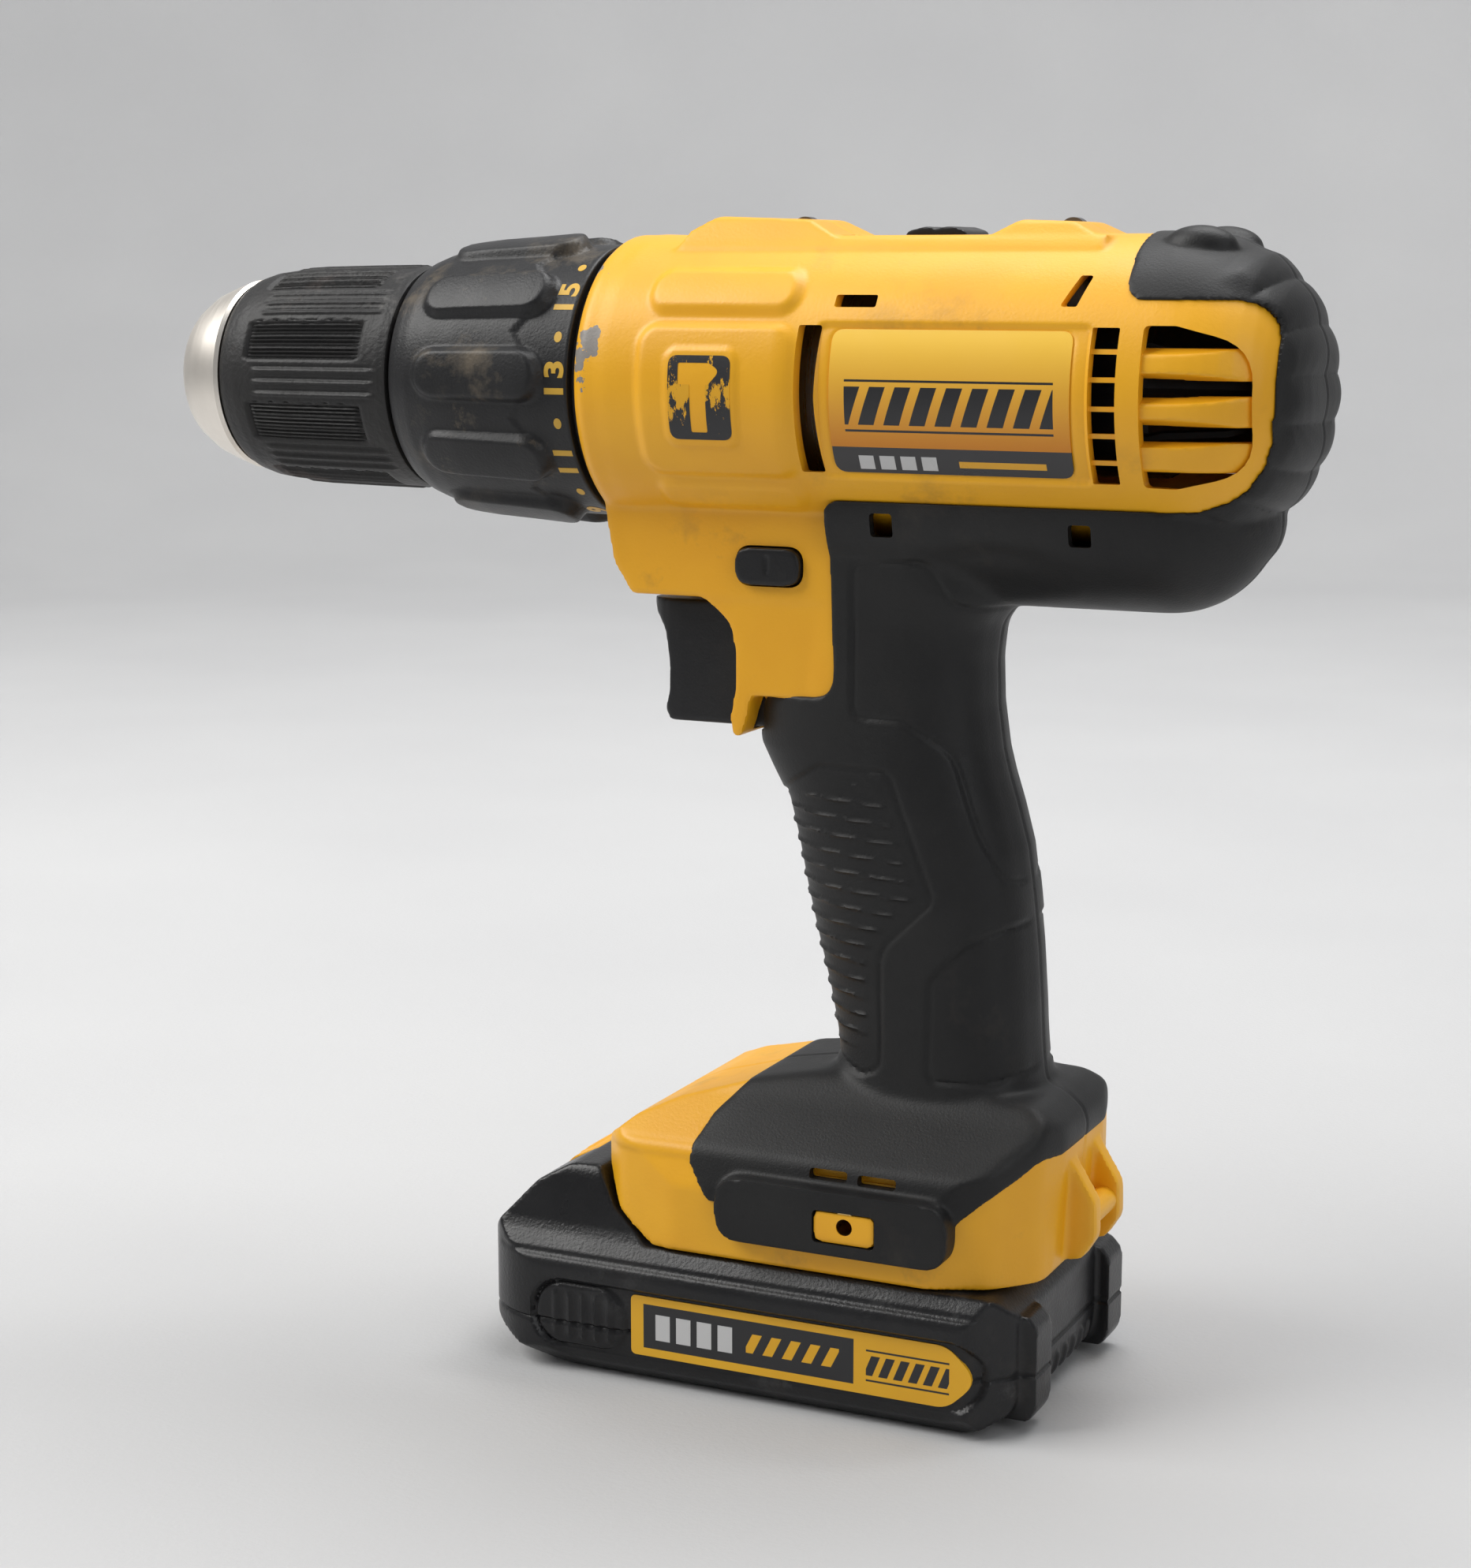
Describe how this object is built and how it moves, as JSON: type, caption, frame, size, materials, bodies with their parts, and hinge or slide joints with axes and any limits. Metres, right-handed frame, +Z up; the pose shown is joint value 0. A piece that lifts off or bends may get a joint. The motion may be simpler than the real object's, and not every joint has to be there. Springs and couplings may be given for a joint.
{
  "type": "cordless drill",
  "caption": "Pistol-grip cordless combi drill with a keyless chuck, ringed torque collar, two-speed gearbox, trigger switch and a slide-on battery pack it stands on.",
  "frame": {"origin": "on the floor, at the middle of the battery pack's flat base, below the handle", "axes": "-X points forward along the spindle out of the chuck, +Y is the user's right when holding the drill, +Z is up"},
  "size_m": [0.2425, 0.074, 0.2322],
  "materials": {
    "yellow_plastic": "satin moulded nylon",
    "black_plastic": "moulded, satin",
    "pack_plastic": "moulded, semi-gloss",
    "soft_rubber": "soft-touch overmould",
    "sleeve_rubber": "ribbed rubber",
    "collar_plastic": "moulded",
    "nose_metal": "satin",
    "steel": "machined",
    "dark_steel": "black oxide",
    "sintered_bronze": "oiled",
    "brass": "turned",
    "copper": "enamelled windings and steel stack",
    "magnet": "sintered ferrite",
    "carbon": "graphite block",
    "gearcase_plastic": "glass-filled nylon",
    "grey_plastic": "moulded",
    "lens": "clear",
    "wire": "insulated",
    "board": "fibreglass board",
    "cell_wrap": "shrink film over steel",
    "label": "printed plate"
  },
  "bodies": {
    "housing": {"left_housing": "yellow_plastic", "right_housing": "yellow_plastic", "left_overmould": "soft_rubber", "right_overmould": "soft_rubber", "left_label_plate": "label", "right_label_plate": "label", "hook_inserts": "brass", "housing_screws": "dark_steel", "work_light_lens": "lens", "gearcase": "gearcase_plastic", "ring_gears": "dark_steel", "spindle_bearing": "steel", "spindle_bush": "sintered_bronze", "hammer_ratchet_fixed": "dark_steel", "clutch_plate": "steel", "clutch_balls": "steel", "clutch_spring": "dark_steel", "motor_plate": "steel", "motor_can": "steel", "motor_magnets": "magnet", "motor_end_cap": "black_plastic", "motor_brushes": "carbon", "rear_bearing": "sintered_bronze", "switch_module": "grey_plastic", "trigger_spring": "steel", "wiring": "wire", "terminal_block": "black_plastic", "terminal_blades": "brass"},
    "chuck": {"chuck_nose": "nose_metal", "chuck_body": "dark_steel", "chuck_thrust_ring": "steel", "chuck_screw": "dark_steel", "spindle": "steel", "hammer_ratchet_turning": "dark_steel"},
    "sleeve": {"chuck_sleeve": "sleeve_rubber", "chuck_nut": "dark_steel"},
    "jaw_1": {"chuck_jaw_1": "steel"},
    "jaw_2": {"chuck_jaw_2": "steel"},
    "jaw_3": {"chuck_jaw_3": "steel"},
    "torque_collar": {"torque_collar": "collar_plastic"},
    "clutch_nut": {"clutch_nut": "gearcase_plastic"},
    "sun_carrier": {"sun_carrier": "steel"},
    "front_planet_1": {"front_planet_1": "steel"},
    "front_planet_2": {"front_planet_2": "steel"},
    "front_planet_3": {"front_planet_3": "steel"},
    "rear_planet_1": {"rear_planet_1": "steel"},
    "rear_planet_2": {"rear_planet_2": "steel"},
    "rear_planet_3": {"rear_planet_3": "steel"},
    "rotor": {"armature": "copper", "motor_pinion": "brass", "motor_fan": "black_plastic"},
    "speed_selector": {"speed_slider": "black_plastic", "shift_fork": "steel"},
    "direction_button": {"direction_button": "black_plastic"},
    "trigger": {"trigger": "black_plastic"},
    "pack": {"pack_lower_shell": "pack_plastic", "pack_upper_shell": "pack_plastic", "pack_cells": "cell_wrap", "pack_board": "board"},
    "pack_release_button": {"pack_release_button": "yellow_plastic"}
  },
  "joints": [
    {"name": "spindle_spin", "type": "hinge", "parent": "housing", "child": "chuck", "pos_m": [-0.06, 0, 0.1995], "axis": [-1, 0, 0], "continuous": true},
    {"name": "sleeve_turn", "type": "hinge", "parent": "chuck", "child": "sleeve", "pos_m": [-0.11, 0, 0.1995], "axis": [-1, 0, 0], "range_deg": [0, 3240]},
    {"name": "jaw_1_slide", "type": "slide", "parent": "chuck", "child": "jaw_1", "axis": [-0.9744, 0, -0.225], "range_m": [0, 0.0208]},
    {"name": "jaw_2_slide", "type": "slide", "parent": "chuck", "child": "jaw_2", "axis": [-0.9744, 0.1948, 0.1125], "range_m": [0, 0.0208]},
    {"name": "jaw_3_slide", "type": "slide", "parent": "chuck", "child": "jaw_3", "axis": [-0.9744, -0.1948, 0.1125], "range_m": [0, 0.0208]},
    {"name": "collar_turn", "type": "hinge", "parent": "housing", "child": "torque_collar", "pos_m": [-0.07, 0, 0.1995], "axis": [-1, 0, 0], "range_deg": [0, 306]},
    {"name": "clutch_nut_advance", "type": "slide", "parent": "torque_collar", "child": "clutch_nut", "axis": [1, 0, 0], "range_m": [0, 0.004], "deforming": ["clutch_spring"]},
    {"name": "sun_carrier_spin", "type": "hinge", "parent": "housing", "child": "sun_carrier", "pos_m": [-0.033, 0, 0.1995], "axis": [-1, 0, 0], "continuous": true},
    {"name": "front_planet_1_spin", "type": "hinge", "parent": "chuck", "child": "front_planet_1", "pos_m": [-0.04, 0, 0.2115], "axis": [-1, 0, 0], "continuous": true},
    {"name": "front_planet_2_spin", "type": "hinge", "parent": "chuck", "child": "front_planet_2", "pos_m": [-0.04, -0.01039, 0.1935], "axis": [-1, 0, 0], "continuous": true},
    {"name": "front_planet_3_spin", "type": "hinge", "parent": "chuck", "child": "front_planet_3", "pos_m": [-0.04, 0.01039, 0.1935], "axis": [-1, 0, 0], "continuous": true},
    {"name": "rear_planet_1_spin", "type": "hinge", "parent": "sun_carrier", "child": "rear_planet_1", "pos_m": [-0.026, 0, 0.2115], "axis": [-1, 0, 0], "continuous": true},
    {"name": "rear_planet_2_spin", "type": "hinge", "parent": "sun_carrier", "child": "rear_planet_2", "pos_m": [-0.026, -0.01039, 0.1935], "axis": [-1, 0, 0], "continuous": true},
    {"name": "rear_planet_3_spin", "type": "hinge", "parent": "sun_carrier", "child": "rear_planet_3", "pos_m": [-0.026, 0.01039, 0.1935], "axis": [-1, 0, 0], "continuous": true},
    {"name": "rotor_spin", "type": "hinge", "parent": "housing", "child": "rotor", "pos_m": [0.01, 0, 0.1995], "axis": [-1, 0, 0], "continuous": true},
    {"name": "speed_select", "type": "slide", "parent": "housing", "child": "speed_selector", "axis": [-1, 0, 0], "range_m": [0, 0.009]},
    {"name": "direction_push", "type": "slide", "parent": "housing", "child": "direction_button", "axis": [0, 1, 0], "range_m": [-0.003, 0.003]},
    {"name": "trigger_pull", "type": "slide", "parent": "housing", "child": "trigger", "axis": [1, 0, 0], "range_m": [0, 0.0065], "stiffness_N_per_m": 900, "springref_m": -0.003, "deforming": ["trigger_spring"]},
    {"name": "pack_slide", "type": "slide", "parent": "housing", "child": "pack", "axis": [-1, 0, 0], "range_m": [0, 0.085]},
    {"name": "release_push", "type": "slide", "parent": "pack", "child": "pack_release_button", "axis": [0, 0, -1], "range_m": [0, 0.0035], "stiffness_N_per_m": 1500, "springref_m": -0.002}
  ],
  "couplings": [
    {"joint": "jaw_1_slide", "follows": "sleeve_turn", "m_per_rad": 0.00036782},
    {"joint": "jaw_2_slide", "follows": "sleeve_turn", "m_per_rad": 0.00036782},
    {"joint": "jaw_3_slide", "follows": "sleeve_turn", "m_per_rad": 0.00036782},
    {"joint": "clutch_nut_advance", "follows": "collar_turn", "m_per_rad": 0.0007},
    {"joint": "sun_carrier_spin", "follows": "spindle_spin", "ratio": 4},
    {"joint": "front_planet_1_spin", "follows": "spindle_spin", "ratio": -3},
    {"joint": "front_planet_2_spin", "follows": "spindle_spin", "ratio": -3},
    {"joint": "front_planet_3_spin", "follows": "spindle_spin", "ratio": -3},
    {"joint": "rear_planet_1_spin", "follows": "spindle_spin", "ratio": -12},
    {"joint": "rear_planet_2_spin", "follows": "spindle_spin", "ratio": -12},
    {"joint": "rear_planet_3_spin", "follows": "spindle_spin", "ratio": -12},
    {"joint": "rotor_spin", "follows": "spindle_spin", "ratio": 16}
  ]
}
